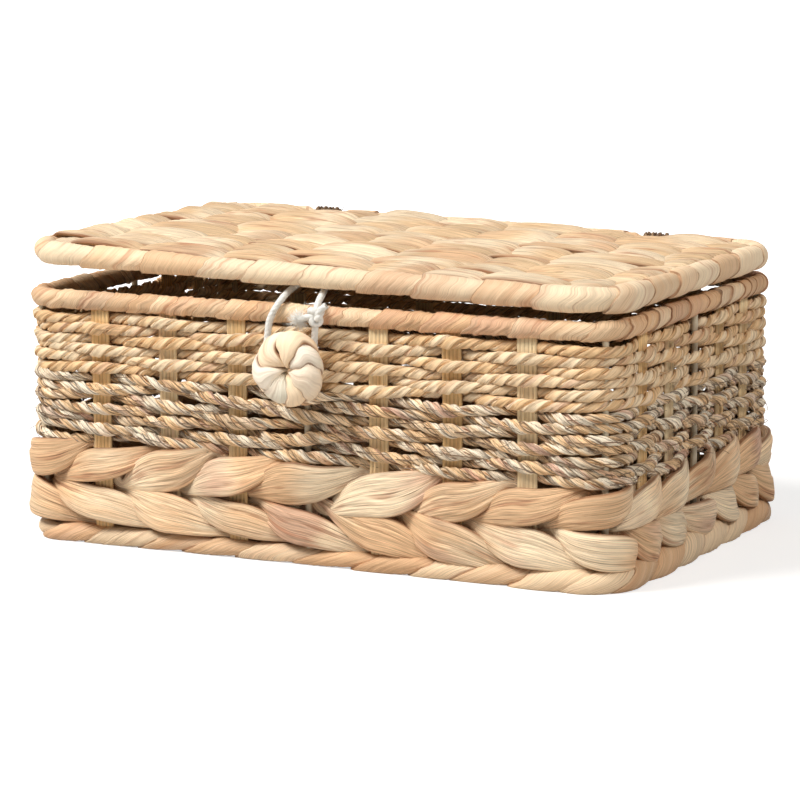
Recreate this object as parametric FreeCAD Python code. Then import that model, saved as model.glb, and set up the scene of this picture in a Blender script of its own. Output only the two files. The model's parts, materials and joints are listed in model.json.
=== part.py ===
import FreeCAD, Part
import math
import os
from collections import namedtuple

# A rectangular lidded basket, woven of leaf strands and twisted rope on a wire frame.
# Millimetres. +X runs along the length, -Y is the front, +Z is up and the floor is z = 0.

os.makedirs("parts", exist_ok=True)
Vec = FreeCAD.Vector
up = Vec(0, 0, 1)
length_way = Vec(1, 0, 0)
depth_way = Vec(0, 1, 0)

# Plan of the wall, on the centreline of the uprights
wall_length = 289.0
wall_depth = 186.0
corner_radius = 16.0
long_wall_posts = 7
short_wall_posts = 5

# Frame wire, stakes and the leaf wraps over the wire rings
wire_diameter = 3.0
stake_width = 8.0
stake_thickness = 1.6
border_diameter = 9.0
rim_diameter = 9.6
foot_flat = 0.5
seat_gap = 0.3

# Woven rows of the wall
rope_diameter = 4.2
tan_rows = 6
seagrass_rows = 7
twined_height = 18.2
twined_thickness = 4.4
row_gap = 0.4
weave_gap = 0.35
panel_gap = 0.6

# Woven mat of the base
base_rows = 9
base_strand_thickness = 3.35

# Lid
lid_corner_radius = 22.0
lid_rim_diameter = 9.4
lid_gap = 7.4
lid_roll_deg = 1.6
lid_rows = 9
lid_strand_thickness = 2.6
lid_edge_gap = 4.2

# Cord ties that hinge the lid
tie_diameter = 2.6
tie_pitch = 3.2
tie_turns = 4
tie_groove_radius = 2.8
tie_gap = 0.3
tie_bay = 2.5
tie_side_gap = 0.6

# Woven button and the strand that holds it to the middle wire
button_diameter = 34.0
button_thickness = 13.0
button_row = 9
shank_diameter = 1.6
shank_spread = 2.85
shank_depth = 4.0
pocket_gap = 0.5

# Cotton loop of the lid, which goes behind the button
cord_diameter = 3.2
cord_gap = 0.4
knot_width = 9.0
knot_thickness = 7.2
knot_height = 10.0
cord_bend_share = 0.45

# The cord's route, from the top of the knot over the lid's middle wire and round the button's shank
cord_route = [
    (9.6, -101.9, 114.0),
    (9.4, -100.6, 117.4),
    (8.2, -93.0, 121.0),
    (6.2, -86.8, 123.0),
    (3.4, -86.2, 132.0),
    (-3.4, -86.2, 132.2),
    (-6.4, -86.6, 124.2),
    (-9.4, -90.2, 121.8),
    (-10.7, -98.9, 116.7),
    (-14.2, -100.6, 110.0),
    (-15.0, -101.2, 103.2),
    (-15.6, -101.1, 95.6),
    (-13.2, -101.1, 87.6),
    (-6.0, -101.1, 83.2),
    (2.4, -101.1, 84.2),
    (7.0, -101.1, 90.4),
    (7.8, -101.1, 97.6),
    (8.4, -101.3, 104.0),
    (9.4, -101.9, 111.0),
]
tail_routes = [
    [(12.3, -103.9, 114.4), (13.7, -104.3, 116.4), (15.6, -103.8, 117.6)],
    [(6.7, -103.9, 112.2), (4.6, -104.3, 111.6), (2.6, -103.9, 110.6)],
]

# Allowances of the construction
overrun = 2.0
hairline = 1e-9

half_length = wall_length / 2
half_depth = wall_depth / 2
strand_height = twined_height / 2 - row_gap / 2
border_z = border_diameter / 2 - foot_flat
lower_twining_z = border_z + border_diameter / 2 + row_gap + twined_height / 2
upper_twining_z = lower_twining_z + twined_height + row_gap
rope_pitch = rope_diameter + row_gap
first_rope_z = upper_twining_z + twined_height / 2 + row_gap + rope_diameter / 2
top_rope_z = first_rope_z + rope_pitch * (tan_rows + seagrass_rows - 1)
tie_radius = tie_groove_radius + tie_gap + tie_diameter / 2
rim_z = top_rope_z + rope_diameter / 2 + row_gap + tie_radius + tie_diameter / 2
lid_z = rim_z + rim_diameter / 2 + lid_gap + lid_rim_diameter / 2
mat_half = stake_thickness / 2 + weave_gap + base_strand_thickness
mat_z = mat_half - foot_flat
lid_place = FreeCAD.Placement(Vec(0, 0, lid_z), FreeCAD.Rotation(depth_way, lid_roll_deg))

Station = namedtuple("Station", "point along out")
Upright = namedtuple("Upright", "post half make group")


# Paths of lines and tangent arcs

def unit(vector):
    return Vec(vector).normalize()


def tangent_arc(start, tangent, end):
    chord = end - start
    weight = tangent.dot(unit(chord))
    if weight > 1 - hairline:
        return Part.LineSegment(start, end).toShape()
    control = start + tangent * (chord.Length / (2 * weight))
    middle = (start + control * (2 * weight) + end) * (1 / (2 * (1 + weight)))
    return Part.Arc(start, middle, end).toShape()


def biarc(start, end):
    a, a_tangent = start
    b, b_tangent = end
    span = b - a
    spread = 2 * (1 - a_tangent.dot(b_tangent))
    lean = span.dot(a_tangent + b_tangent)
    if spread < hairline:
        reach = span.dot(span) / (2 * lean)
    else:
        reach = (math.sqrt(lean * lean + spread * span.dot(span)) - lean) / spread
    first_control = a + a_tangent * reach
    second_control = b - b_tangent * reach
    joint = (first_control + second_control) * 0.5
    joint_tangent = unit(second_control - first_control)
    return [tangent_arc(a, a_tangent, joint), tangent_arc(joint, joint_tangent, b)]


def path_through(knots, closed=False):
    ends = knots[1:] + knots[:1] if closed else knots[1:]
    edges = []
    for start, end in zip(knots, ends):
        edges += biarc(start, end)
    return Part.Wire(edges)


def sweep(path, profile, across=None):
    pipe = Part.BRepOffsetAPI.MakePipeShell(path)
    if across is not None:
        pipe.setBiNormalMode(across)
    pipe.add(profile)
    pipe.build()
    pipe.makeSolid()
    return pipe.shape()


def round_profile(knot, diameter):
    point, tangent = knot
    return Part.Wire([Part.Circle(point, tangent, diameter / 2).toShape()])


def flat_profile(knot, height, thickness, across):
    point, tangent = knot
    thin_way = unit(tangent.cross(across))
    tall_way = unit(thin_way.cross(tangent))
    tall_end = point + tall_way * (height / 2)
    thin_end = point + thin_way * (thickness / 2)
    return Part.Wire([Part.Ellipse(tall_end, thin_end, point).toShape()])


# The plan: a rounded rectangle, walked anticlockwise from the middle of each side

def side_size(side):
    return (half_length, half_depth) if side % 2 == 0 else (half_depth, half_length)


def station(side, distance, radius=corner_radius):
    along = FreeCAD.Rotation(up, 90 * side).multVec(length_way)
    out = along.cross(up)
    half, reach = side_size(side)
    straight = half - radius
    over = abs(distance) - straight
    if over <= 0:
        return Station(along * distance + out * reach, along, out)
    turn = math.copysign(over / radius, distance)
    outward = out * math.cos(turn) + along * math.sin(turn)
    onward = along * math.cos(turn) - out * math.sin(turn)
    centre = along * math.copysign(straight, distance) + out * (reach - radius)
    return Station(centre + outward * radius, onward, outward)


def corner_distance(side, radius=corner_radius):
    return side_size(side)[0] - radius + radius * math.pi / 4


def post_spacing(side):
    posts = long_wall_posts if side % 2 == 0 else short_wall_posts
    return 2 * corner_distance(side) / (posts + 1)


def post_offsets(side):
    posts = long_wall_posts if side % 2 == 0 else short_wall_posts
    return [post_spacing(side) * (index - (posts - 1) / 2) for index in range(posts)]


def ring_path(radius, height):
    edges = []
    for side in range(4):
        straight = side_size(side)[0] - radius
        start = station(side, -straight, radius).point + up * height
        end = station(side, straight, radius).point + up * height
        bend = station(side, corner_distance(side, radius), radius).point + up * height
        after = side_size(side + 1)[0] - radius
        next_start = station(side + 1, -after, radius).point + up * height
        edges.append(Part.LineSegment(start, end).toShape())
        edges.append(Part.Arc(end, bend, next_start).toShape())
    return Part.Wire(edges)


def ring_tube(radius, height, diameter):
    first = station(0, radius - half_length, radius)
    return sweep(ring_path(radius, height), round_profile((first.point + up * height, first.along), diameter))


# Uprights of the wall

def stake(post, low, high, grow=0):
    wide = post.along * (stake_width / 2 + grow)
    thick = post.out * (stake_thickness / 2 + grow)
    foot = post.point + up * low
    outline = [foot + wide + thick, foot + wide - thick, foot - wide - thick, foot - wide + thick]
    face = Part.Face(Part.makePolygon(outline + outline[:1]))
    return face.extrude(up * (high - low))


def post_wire(post, low, high, grow=0):
    return Part.makeCylinder(wire_diameter / 2 + grow, high - low, post.point + up * low, up)


def wall_uprights():
    uprights = []
    for side, wall in enumerate(("front", "right", "back", "left")):
        for offset in post_offsets(side):
            post = station(side, offset)
            if abs(offset) < hairline:
                uprights.append(Upright(post, wire_diameter / 2, post_wire, "middle_wires"))
            else:
                uprights.append(Upright(post, stake_thickness / 2, stake, wall + "_stakes"))
        corner = station(side, corner_distance(side))
        uprights.append(Upright(corner, wire_diameter / 2, post_wire, "corner_wires"))
    return uprights


def wall_gaps():
    gaps = []
    for side in range(4):
        offsets = post_offsets(side) + [corner_distance(side)]
        for low, high in zip(offsets, offsets[1:]):
            gaps.append(station(side, (low + high) / 2))
        first = post_offsets(side + 1)[0]
        gaps.append(station(side + 1, (first - corner_distance(side + 1)) / 2))
    return gaps


# Woven rows of the wall

def rope_row(uprights, row):
    height = up * (first_rope_z + rope_pitch * row)
    knots = []
    for index, upright in enumerate(uprights):
        side = 1 if (index + row) % 2 else -1
        away = upright.half + weave_gap + rope_diameter / 2
        knots.append((upright.post.point + upright.post.out * (side * away) + height, upright.post.along))
    return sweep(path_through(knots, closed=True), round_profile(knots[0], rope_diameter))


def crossing(gap, across, lift, swing):
    return (gap.point + across * lift, unit(gap.along - gap.out * swing))


def passing(post, across, away, climb):
    return (post.point + post.out * away, unit(post.along + across * climb))


def twined_strand(uprights, gaps, height, strand, lean):
    pitch = sum(2 * corner_distance(side) for side in range(4)) / len(uprights)
    rise = lean * (strand_height + row_gap) / 2
    knots = []
    for index, (upright, gap) in enumerate(zip(uprights, gaps)):
        side = 1 if (index + strand) % 2 else -1
        away = side * (upright.half + weave_gap + twined_thickness / 2)
        knots.append(passing(upright.post, up, away, side * rise * math.pi / pitch))
        knots.append(crossing(gap, up, side * rise, away * math.pi / pitch))
    lifted = [(point + up * height, tangent) for point, tangent in knots[1:] + knots[:1]]
    profile = flat_profile(lifted[0], strand_height, twined_thickness, up)
    return sweep(path_through(lifted, closed=True), profile, up)


# Flat panels: cross pieces along Y, with pairs of strands twined round them in rows along X

def row_reach(row_edge, radius, tube_diameter):
    inset = tube_diameter / 2 + row_gap
    over = row_edge - (half_depth - radius)
    if over <= 0:
        return half_length - inset
    inner = radius - inset
    return half_length - radius + math.sqrt(max(inner * inner - over * over, 0))


def panel_strand(row_y, reach, height, thickness, core_half, strand, lean):
    offsets = post_offsets(0)
    pitch = post_spacing(0)
    rise = lean * (height + panel_gap) / 2
    centre = depth_way * row_y
    first_side = 1 if strand % 2 else -1
    last_side = first_side if len(offsets) % 2 else -first_side
    knots = []
    for distance in (-reach, offsets[0] - pitch / 2):
        knots.append((centre + length_way * distance - depth_way * (first_side * rise), length_way))
    for index, offset in enumerate(offsets):
        side = first_side if index % 2 == 0 else -first_side
        away = side * (core_half + weave_gap + thickness / 2)
        post = Station(centre + length_way * offset, length_way, up)
        knots.append(passing(post, depth_way, away, side * rise * math.pi / pitch))
        if offset < offsets[-1]:
            gap = Station(post.point + length_way * (pitch / 2), length_way, up)
            knots.append(crossing(gap, depth_way, side * rise, away * math.pi / pitch))
    for distance in (offsets[-1] + pitch / 2, reach):
        knots.append((centre + length_way * distance + depth_way * (last_side * rise), length_way))
    profile = flat_profile(knots[0], height, thickness, depth_way)
    return sweep(path_through(knots), profile, depth_way)


def panel_row(row, rows, half_width, radius, tube_diameter, thickness, core_half):
    row_pitch = 2 * half_width / rows
    row_y = row_pitch * (row - (rows - 1) / 2)
    reach = row_reach(abs(row_y) + row_pitch / 2, radius, tube_diameter)
    height = row_pitch / 2 - panel_gap
    lean = 1 if row % 2 else -1
    return [panel_strand(row_y, reach, height, thickness, core_half, strand, lean) for strand in range(2)]


def cross_reach():
    return half_depth - wire_diameter / 2 - seat_gap


def base_cross_stake(offset, grow=0):
    end = cross_reach() + grow
    across = Station(Vec(offset, 0, 0), length_way, depth_way)
    return stake_along(across, end, mat_z, grow)


def stake_along(post, end, height, grow):
    wide = post.along * (stake_width / 2 + grow)
    thick = up * (stake_thickness / 2 + grow)
    middle = post.point - post.out * end + up * height
    outline = [middle + wide + thick, middle + wide - thick, middle - wide - thick, middle - wide + thick]
    return Part.Face(Part.makePolygon(outline + outline[:1])).extrude(post.out * (2 * end))


def lid_cross_wire(offset, grow=0):
    end = cross_reach() + grow
    return Part.makeCylinder(wire_diameter / 2 + grow, 2 * end, Vec(offset, -end, 0), depth_way)


# Wraps of leaf over the wire rings, with a socket for every piece that runs into them

def tie_offsets():
    return [-tie_bay * post_spacing(0), tie_bay * post_spacing(0)]


def tie_groove(offset, height):
    width = tie_pitch * tie_turns + tie_diameter + 2 * tie_side_gap
    start = Vec(offset - width / 2, half_depth, height)
    outer = Part.makeCylinder(rim_diameter / 2 + overrun, width, start, length_way)
    return outer.cut(Part.makeCylinder(tie_groove_radius, width, start, length_way))


def wrapped_ring(radius, height, diameter, sockets):
    wrap = ring_tube(radius, height, diameter)
    bore = ring_tube(radius, height, wire_diameter + 2 * seat_gap)
    return wrap.cut([bore] + sockets)


def below_floor():
    corner = Vec(-wall_length, -wall_depth, -border_diameter)
    return Part.makeBox(2 * wall_length, 2 * wall_depth, border_diameter, corner)


def border_wrap(uprights):
    top = border_z + border_diameter / 2 + overrun
    bottom = border_z + wire_diameter / 2
    sockets = [upright.make(upright.post, bottom, top, seat_gap) for upright in uprights]
    sockets += [base_cross_stake(offset, seat_gap) for offset in post_offsets(0)]
    return wrapped_ring(corner_radius, border_z, border_diameter, sockets + [below_floor()])


def rim_wrap(uprights):
    bottom = rim_z - rim_diameter / 2 - overrun
    top = rim_z - wire_diameter / 2
    sockets = [upright.make(upright.post, bottom, top, seat_gap) for upright in uprights]
    sockets += [tie_groove(offset, rim_z) for offset in tie_offsets()]
    return wrapped_ring(corner_radius, rim_z, rim_diameter, sockets)


def lid_rim_wrap():
    sockets = [lid_cross_wire(offset, seat_gap) for offset in post_offsets(0)]
    sockets += [tie_groove(offset, 0) for offset in tie_offsets()]
    return wrapped_ring(lid_corner_radius, 0, lid_rim_diameter, sockets)


# Hinge ties: turns of cord round the back rims of the lid and the basket

def lid_axis_height(distance):
    return lid_z - distance * math.tan(math.radians(lid_roll_deg))


def tie_knots(offset):
    front = half_depth - tie_radius
    back = half_depth + tie_radius
    start = offset - tie_pitch * tie_turns / 2
    down = up * -1
    knots = [(Vec(start, front, rim_z + tie_diameter), down), (Vec(start, front, rim_z), down)]
    for turn in range(tie_turns):
        low_x = start + tie_pitch * turn
        high_x = low_x + tie_pitch / 2
        lid_axis = lid_axis_height(high_x)
        knots.append((Vec(low_x, half_depth, rim_z - tie_radius), depth_way))
        knots.append((Vec(low_x, back, rim_z), up))
        knots.append((Vec(high_x, back, lid_axis), up))
        knots.append((Vec(high_x, half_depth, lid_axis + tie_radius), depth_way * -1))
        knots.append((Vec(high_x, front, lid_axis), down))
        if turn < tie_turns - 1:
            knots.append((Vec(low_x + tie_pitch, front, rim_z), down))
    knots.append((knots[-1][0] + down * tie_diameter, down))
    return knots


def least_gap(path, diameter):
    count = int(path.Length / (diameter / 4))
    points = path.discretize(Number=count)
    step = path.Length / (count - 1)
    skip = int(math.pi * diameter / step)
    nearest = path.Length
    for index, point in enumerate(points):
        for other in points[index + skip:]:
            nearest = min(nearest, point.distanceToPoint(other))
    return nearest - diameter


def hinge_tie(offset, name):
    knots = tie_knots(offset)
    path = path_through(knots)
    print(name, "length", round(path.Length, 1), "least gap to itself", round(least_gap(path, tie_diameter), 2))
    return sweep(path, round_profile(knots[0], tie_diameter))


# Button, its shank and the cord loop

def button_height():
    return first_rope_z + rope_pitch * button_row


def wall_face():
    return -half_depth - wire_diameter / 2 - weave_gap - rope_diameter


def button_back():
    return wall_face() - cord_diameter - 2 * cord_gap


def button():
    flat_share, heel_shares, side_share = 0.7, (0.93, 0.13), 0.42
    crown_share, shoulder_shares = 0.45, (0.86, 0.82)
    navel_shares, dip_shares = (0.08, 0.84), (0.22, 0.95)
    radius = button_diameter / 2
    pocket_radius = shank_spread + shank_diameter / 2 + pocket_gap
    pocket_depth = shank_depth + pocket_gap

    def at(out, forward):
        return Vec(out, button_back() - forward, button_height())

    def bend(start, through, end):
        return Part.Arc(start, through, end).toShape()

    rim = at(radius, side_share * button_thickness)
    crown = at(crown_share * radius, button_thickness)
    heel = at(flat_share * radius, 0)
    navel = at(navel_shares[0] * radius, navel_shares[1] * button_thickness)
    middle = at(0, navel_shares[1] * button_thickness)
    inside = [navel, middle, at(0, pocket_depth), at(pocket_radius, pocket_depth), at(pocket_radius, 0), heel]
    edges = [Part.LineSegment(a, b).toShape() for a, b in zip(inside, inside[1:])]
    edges.append(bend(heel, at(heel_shares[0] * radius, heel_shares[1] * button_thickness), rim))
    edges.append(bend(rim, at(shoulder_shares[0] * radius, shoulder_shares[1] * button_thickness), crown))
    edges.append(bend(crown, at(dip_shares[0] * radius, dip_shares[1] * button_thickness), navel))
    return Part.Face(Part.Wire(edges)).revolve(at(0, 0), depth_way, 360)


def button_shank():
    ends = button_back() - shank_depth
    clear = -half_depth - wire_diameter / 2 - weave_gap - rope_diameter / 2
    behind = -half_depth + wire_diameter / 2 + weave_gap + shank_diameter / 2
    level = button_height()
    inner_level = level - rope_pitch
    inward = depth_way
    knots = [
        (Vec(-shank_spread, ends, level), inward),
        (Vec(-shank_spread, clear, level), inward),
        (Vec(0, behind, inner_level), length_way),
        (Vec(shank_spread, clear, level), inward * -1),
        (Vec(shank_spread, ends, level), inward * -1),
    ]
    return sweep(path_through(knots), round_profile(knots[0], shank_diameter))


def cord_path(points, name):
    points = [Vec(*point) for point in points]
    edges = []
    radii = []
    reached = points[0]
    for before, point, after in zip(points, points[1:], points[2:]):
        way_in = unit(point - before)
        way_out = unit(after - point)
        half_turn = way_in.getAngle(way_out) / 2
        cut = cord_bend_share * min((point - before).Length, (after - point).Length)
        radii.append(cut / math.tan(half_turn))
        start = point - way_in * cut
        end = point + way_out * cut
        edges.append(Part.LineSegment(reached, start).toShape())
        edges.append(tangent_arc(start, way_in, end))
        reached = end
    edges.append(Part.LineSegment(reached, points[-1]).toShape())
    path = Part.Wire(edges)
    print(name, "length", round(path.Length, 1), "radii", [round(radius, 1) for radius in radii])
    return path, (points[0], unit(points[1] - points[0]))


def cord_tube(points, name):
    path, start = cord_path(points, name)
    solid = sweep(path, round_profile(start, cord_diameter))
    expected = path.Length * math.pi * cord_diameter ** 2 / 4
    print(name, "volume", round(solid.Volume, 1), "section times length", round(expected, 1))
    return solid


def knot(pieces):
    top = Vec(*cord_route[0])
    bottom = Vec(*cord_route[-1])
    centre = (top + bottom) * 0.5
    ball = Part.makeSphere(1)
    shape = FreeCAD.Matrix()
    shape.scale(knot_width / 2, knot_thickness / 2, knot_height / 2)
    shape.move(centre)
    return ball.transformGeometry(shape).cut(pieces)


# Writing the parts

def write(name, solids):
    shape = solids[0] if len(solids) == 1 else Part.makeCompound(solids)
    shape.exportStep("parts/" + name + ".step")


def write_basket():
    uprights = wall_uprights()
    gaps = wall_gaps()
    write("base_wire", [ring_tube(corner_radius, border_z, wire_diameter)])
    write("base_border_wrap", [border_wrap(uprights)])
    write("rim_wire", [ring_tube(corner_radius, rim_z, wire_diameter)])
    write("rim_wrap", [rim_wrap(uprights)])
    low = border_z + wire_diameter / 2 + seat_gap
    high = rim_z - wire_diameter / 2 - seat_gap
    groups = {}
    for upright in uprights:
        groups.setdefault(upright.group, []).append(upright.make(upright.post, low, high))
    for name, solids in groups.items():
        write(name, solids)
    for row in range(tan_rows + seagrass_rows):
        from_top = tan_rows + seagrass_rows - row
        kind = "tan_rope_row_" + str(from_top)
        if from_top > tan_rows:
            kind = "seagrass_rope_row_" + str(from_top - tan_rows)
        write(kind, [rope_row(uprights, row)])
    for name, height, lean in (("upper", upper_twining_z, 1), ("lower", lower_twining_z, -1)):
        for strand in range(2):
            solid = twined_strand(uprights, gaps, height, strand, lean)
            write(name + "_twining_strand_" + str(strand + 1), [solid])


def write_base():
    half_width = half_depth - border_diameter / 2 - row_gap
    core_half = stake_thickness / 2
    write("base_cross_stakes", [base_cross_stake(offset) for offset in post_offsets(0)])
    for row in range(base_rows):
        strands = panel_row(row, base_rows, half_width, corner_radius, border_diameter,
                            base_strand_thickness, core_half)
        for strand in strands:
            strand.translate(up * mat_z)
        write("base_twined_row_" + str(row + 1), [strand.cut(below_floor()) for strand in strands])


def write_lid():
    half_width = half_depth - lid_rim_diameter / 2 - lid_edge_gap
    pieces = {
        "lid_wire": [ring_tube(lid_corner_radius, 0, wire_diameter)],
        "lid_rim_wrap": [lid_rim_wrap()],
        "lid_cross_wires": [lid_cross_wire(offset) for offset in post_offsets(0)],
    }
    for row in range(lid_rows):
        name = "lid_twined_row_" + str(row + 1)
        pieces[name] = panel_row(row, lid_rows, half_width, lid_corner_radius, lid_rim_diameter,
                                 lid_strand_thickness, wire_diameter / 2)
    for name, solids in pieces.items():
        for solid in solids:
            solid.Placement = lid_place.multiply(solid.Placement)
        write(name, solids)


def write_closure():
    for name, offset in zip(("hinge_tie_left", "hinge_tie_right"), tie_offsets()):
        write(name, [hinge_tie(offset, name)])
    write("button", [button()])
    write("button_shank", [button_shank()])
    cord = cord_tube(cord_route, "loop_cord")
    tails = [cord_tube(route, "loop_tail") for route in tail_routes]
    write("loop_cord", [cord])
    write("loop_knot", [knot([cord] + tails)])
    write("loop_tails", tails)


write_basket()
write_base()
write_lid()
write_closure()
print("rim centre", round(rim_z, 1), "lid centre", round(lid_z, 1), "button", round(button_height(), 1))
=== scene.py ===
import json
import math
from functools import partial
import bpy
import numpy as np
from mathutils import Matrix, Vector


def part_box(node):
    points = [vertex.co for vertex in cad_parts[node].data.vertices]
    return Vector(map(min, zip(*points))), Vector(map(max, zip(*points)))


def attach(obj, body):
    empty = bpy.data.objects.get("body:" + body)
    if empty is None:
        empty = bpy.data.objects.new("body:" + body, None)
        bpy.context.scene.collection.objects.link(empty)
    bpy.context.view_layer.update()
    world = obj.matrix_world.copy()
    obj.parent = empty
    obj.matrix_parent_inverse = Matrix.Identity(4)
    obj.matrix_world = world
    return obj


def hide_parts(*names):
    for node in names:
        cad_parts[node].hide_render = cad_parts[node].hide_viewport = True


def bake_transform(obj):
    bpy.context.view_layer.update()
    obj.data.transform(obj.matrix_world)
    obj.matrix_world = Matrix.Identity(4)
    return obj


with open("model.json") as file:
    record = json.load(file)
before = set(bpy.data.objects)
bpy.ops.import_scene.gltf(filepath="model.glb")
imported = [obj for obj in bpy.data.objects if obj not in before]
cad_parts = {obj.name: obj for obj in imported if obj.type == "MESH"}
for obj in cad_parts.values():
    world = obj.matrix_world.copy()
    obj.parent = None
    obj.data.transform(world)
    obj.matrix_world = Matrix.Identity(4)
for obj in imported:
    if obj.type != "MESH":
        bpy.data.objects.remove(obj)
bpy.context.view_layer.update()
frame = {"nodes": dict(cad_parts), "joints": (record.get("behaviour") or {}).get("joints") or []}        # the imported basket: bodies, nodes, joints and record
scene = bpy.context.scene
mm = 0.001               # sizes below are millimetres, Blender works in metres
turn = 2 * math.pi
seeded = np.random.default_rng
print("frame loaded:", len(frame["nodes"]), "nodes")


# Measures taken from the frame

def nodeBox(name):
    low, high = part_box(name)
    return np.array(low) / mm, np.array(high) / mm


def middleHeight(name):
    low, high = nodeBox(name)
    return (low[2] + high[2]) / 2


wallPlan = {
    "cornerRadius": 16.0, "longBays": 8, "shortBays": 6, "wireHalf": 1.5, "stakeHalf": 0.8,
    "settling": 2.0}
lidPlan = {"cornerRadius": 22.0, "rows": 9, "frontGap": 0.6, "backGap": -1.0}

rimLow, rimHigh = nodeBox("rim_wrap")
rimRadius = (rimHigh[2] - rimLow[2]) / 2
rimZ = middleHeight("rim_wrap")
halfLength = rimHigh[0] - rimRadius
halfDepth = rimHigh[1] - rimRadius
borderHigh = nodeBox("base_border_wrap")[1]
borderRadius = borderHigh[0] - halfLength
borderZ = borderHigh[2] - borderRadius
lidRimRadius = nodeBox("lid_rim_wrap")[1][1] - halfDepth
ropeFoot = nodeBox("seagrass_rope_row_7")[0][2]
lidHinge = next(joint for joint in frame["joints"] if joint["name"] == "lid_hinge")
lidRoll = math.atan2(lidHinge["axis"][2], -lidHinge["axis"][0])
lidZ = lidHinge["pos_m"][2] / mm

# uprights are counted from the front wall's first stake, round to it again
longBays, shortBays = wallPlan["longBays"], wallPlan["shortBays"]
wallCorner, lidCorner = wallPlan["cornerRadius"], lidPlan["cornerRadius"]
cornerHalf = math.pi / 4 * wallCorner
longBay = 2 * (halfLength - wallCorner + cornerHalf) / longBays
shortBay = 2 * (halfDepth - wallCorner + cornerHalf) / shortBays
bays = [longBay] * (longBays - 1) + [shortBay] * shortBays
bays += [longBay] * longBays + [shortBay] * shortBays + [longBay]
uprightAt = np.concatenate([[0], np.cumsum(bays)])
wallRound = uprightAt[-1]
firstUpright = (1 - longBays // 2) * longBay
cornerUprights = np.cumsum([longBays - 1, shortBays, longBays, shortBays])
middleUprights = cornerUprights - np.array([longBays, shortBays, longBays, shortBays]) // 2
backMiddle = middleUprights[2]
uprightHalf = np.full(len(uprightAt), wallPlan["stakeHalf"])
uprightHalf[[*cornerUprights, *middleUprights]] = wallPlan["wireHalf"]      # wires there, stakes elsewhere


def oblong(s, radius):
    # points of the rounded oblong plan, s along it from the middle of the front to the right,
    # with the way out of it
    flatX, flatY, bend = halfLength - radius, halfDepth - radius, math.pi / 2 * radius
    lengths = [flatX, bend, 2 * flatY, bend, 2 * flatX, bend, 2 * flatY, bend, flatX]
    starts = np.concatenate([[0], np.cumsum(lengths)])
    anchors = np.array([
        (0, -halfDepth), (flatX, -flatY), (halfLength, -flatY), (flatX, flatY), (flatX, halfDepth),
        (-flatX, flatY), (-halfLength, flatY), (-flatX, -flatY), (-flatX, -halfDepth)])
    s = np.mod(s, starts[-1])
    run = np.clip(np.searchsorted(starts, s, side="right") - 1, 0, len(lengths) - 1)
    into = s - starts[run]
    curved = run % 2 == 1
    heading = run // 2 * math.pi / 2 + np.where(curved, into / radius, 0)
    along = np.stack([np.cos(heading), np.sin(heading), 0 * heading], -1)
    outward = np.stack([along[:, 1], -along[:, 0], 0 * heading], -1)
    points = np.concatenate([anchors[run], np.zeros((len(s), 1))], 1)
    points = points + np.where(curved, 0, into)[:, None] * along
    return points + np.where(curved, radius, 0)[:, None] * outward, outward


def oblongRound(radius):
    return 4 * (halfLength + halfDepth - 2 * radius) + turn * radius


def uprightCount(s):
    # how many uprights lie behind s, as a smooth count
    return np.interp(np.mod(s - firstUpright, wallRound), uprightAt, np.arange(len(uprightAt)))


def uprightDepth(passed):
    # half the depth of the upright at that count
    return np.interp(np.mod(passed, len(bays)), np.arange(len(uprightAt)), uprightHalf)


def onceRound(step, odd):
    # places round the wall from the back, where a strand's seam lies inside behind an upright
    count = round(wallRound / step)
    return firstUpright + uprightAt[backMiddle - 1 + odd % 2] + np.arange(count) * wallRound / count


def settled(height, plan):
    # the weave sits a little lower towards the right end, most where the ropes meet the twining
    share = np.interp(height, (0, ropeFoot, rimZ - rimRadius), (0, 1, 0))
    return height - wallPlan["settling"] * share * plan[:, 0] / halfLength


def onLid(points):
    # the lid's own plane, level with its middle, turned by its roll
    x, y, z = points[..., 0], points[..., 1], points[..., 2]
    c, w = math.cos(lidRoll), math.sin(lidRoll)
    return np.stack([x * c + z * w, y, z * c - x * w + lidZ], -1)


def inWall(s, node, out, rise):
    # a strand's middle line in the wall, out of the plan and up from its node's middle, and the way out
    plan, outward = oblong(s, wallCorner)
    height = settled(middleHeight(node), plan) + rise
    return plan + out[:, None] * outward + height[:, None] * upWays(plan), outward


def raised(height, points):
    return points + np.array([0, 0, height])


def upWays(like):
    return np.broadcast_to(np.array([0, 0, 1.0]), like.shape)


def metres(place):
    return [value * mm for value in place]


# Mesh making

# where this reach falls to zero, at edges and in grooves, the plant materials paint shade in the vein brown
edgeReach = 2.5          # third fibre coordinate on an open face; it falls to zero at edges and in grooves
grainSpan = 900.0        # each piece's grain starts at a random place in this length
grooveMean = 0.64        # mean of a blade's round outline, so that ridges don't thicken a rope
driftWaves = {           # longest and shortest wave of each random drift along a strand
    "ply": (70, 9), "lean": (120, 40), "tint": (220, 50), "rope": (150, 40), "twine": (300, 60),
    "strand": (200, 70), "stake": (200, 60), "ragged": (turn / 2, turn / 7), "fold": (140, 45),
    "foldShows": (150, 50), "crease": (160, 50), "creaseShows": (110, 30)}


def wander(rng, s, total, name, terms=7):
    # a smooth random drift along a strand that meets itself round a ring
    longest, shortest = driftWaves[name]
    drift = np.zeros_like(s)
    for _ in range(terms):
        wave = math.exp(rng.uniform(math.log(shortest), math.log(longest)))
        drift += np.cos(turn * max(1, round(total / wave)) * s / total + rng.uniform(0, turn))
    return drift / math.sqrt(terms / 2)


def unit(vectors):
    return vectors / np.linalg.norm(vectors, axis=-1, keepdims=True)


def signedPower(values, power):
    return np.sign(values) * np.abs(values) ** power


def roundAngles(count):
    return np.linspace(0, turn, count, endpoint=False)


def fibrePlaces(rng, shape, along, across, reach):
    # fibre coordinates: along the grain, across it, and the reach from an edge or groove, where the
    # material paints shade
    start = rng.uniform(0, grainSpan)
    return np.stack([np.broadcast_to(value, shape) for value in (along + start, across, reach)], -1)


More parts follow.
